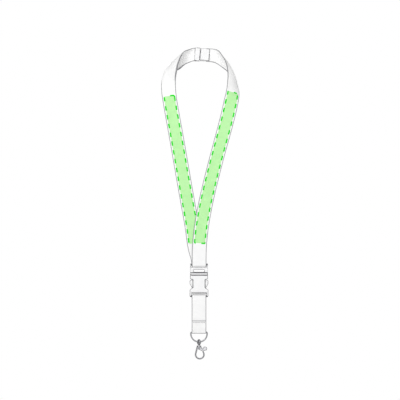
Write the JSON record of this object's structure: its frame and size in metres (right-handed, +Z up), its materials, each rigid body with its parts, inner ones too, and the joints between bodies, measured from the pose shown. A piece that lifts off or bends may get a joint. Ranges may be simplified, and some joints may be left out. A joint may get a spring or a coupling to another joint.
{
  "type": "lanyard",
  "caption": "Neck lanyard of flat woven webbing with a breakaway clip, a side release buckle, a D-ring and a swivel snap hook that holds a badge.",
  "frame": {"origin": "on the inner face of the strap at the nape, beside the breakaway clip, where the lanyard rests on the back of the neck", "axes": "+Z up, with the straps, the buckle and the hook hanging along -Z; +X to the viewer's right; +Y away from the viewer, towards the nape"},
  "size_m": [0.108, 0.0467, 0.4312],
  "materials": {
    "webbing": "white woven polyester webbing",
    "print": "pale green ink with a darker dashed border",
    "thread": "white polyester thread",
    "moulding": "white moulded plastic, satin",
    "plated": "nickel-plated, polished",
    "spring_steel": "plain spring steel"
  },
  "bodies": {
    "left_side": {"neck_strap_left": "webbing", "print_panel_left": "print", "breakaway_plug": "moulding"},
    "right_side": {"neck_strap_right": "webbing", "print_panel_right": "print", "breakaway_socket": "moulding", "neck_tail_stitching": "thread"},
    "plug": {"buckle_plug": "moulding"},
    "arm_right": {"latch_arm_right": "moulding"},
    "arm_left": {"latch_arm_left": "moulding"},
    "socket": {"buckle_socket": "moulding"},
    "drop": {"lower_strap": "webbing", "lower_strap_stitching": "thread"},
    "ring": {"d_ring": "plated"},
    "eye": {"swivel_eye": "plated"},
    "hook": {"hook_body": "plated", "gate_pin": "plated", "gate_spring": "spring_steel"},
    "gate": {"gate_lever": "plated"}
  },
  "joints": [
    {"name": "breakaway_release", "type": "hinge", "parent": "left_side", "child": "right_side", "pos_m": [0, -0.035, -0.29065], "axis": [0, 1, 0], "range_deg": [0, 2.2]},
    {"name": "buckle_swing", "type": "hinge", "parent": "left_side", "child": "plug", "pos_m": [0, -0.035, -0.29065], "axis": [1, 0, 0], "range_deg": [-60, 60]},
    {"name": "latch_right", "type": "hinge", "parent": "plug", "child": "arm_right", "pos_m": [0.0072, -0.035, -0.3068], "axis": [0, 1, 0], "range_deg": [0, 11], "stiffness_Nm_per_rad": 0.1},
    {"name": "latch_left", "type": "hinge", "parent": "plug", "child": "arm_left", "pos_m": [-0.0072, -0.035, -0.3068], "axis": [0, 1, 0], "range_deg": [-11, 0], "stiffness_Nm_per_rad": 0.1},
    {"name": "buckle_release", "type": "slide", "parent": "plug", "child": "socket", "axis": [0, 0, -1], "range_m": [0, 0.024], "deforming": ["latch_arm_right", "latch_arm_left"]},
    {"name": "drop_swing", "type": "hinge", "parent": "socket", "child": "drop", "pos_m": [0, -0.035, -0.3342], "axis": [1, 0, 0], "range_deg": [-70, 70]},
    {"name": "ring_swing", "type": "hinge", "parent": "drop", "child": "ring", "pos_m": [0, -0.035, -0.3837], "axis": [1, 0, 0], "range_deg": [-80, 80]},
    {"name": "eye_swing", "type": "hinge", "parent": "ring", "child": "eye", "pos_m": [0, -0.035, -0.3972], "axis": [1, 0, 0], "range_deg": [-90, 90]},
    {"name": "hook_swivel", "type": "hinge", "parent": "eye", "child": "hook", "pos_m": [0, -0.035, -0.403], "axis": [0, 0, 1], "continuous": true},
    {"name": "gate_open", "type": "hinge", "parent": "hook", "child": "gate", "pos_m": [0.0002, -0.035, -0.4062], "axis": [0, 1, 0], "range_deg": [0, 28], "stiffness_Nm_per_rad": 0.02, "deforming": ["gate_spring"]}
  ],
  "couplings": [
    {"joint": "latch_left", "follows": "latch_right", "ratio": -1}
  ]
}
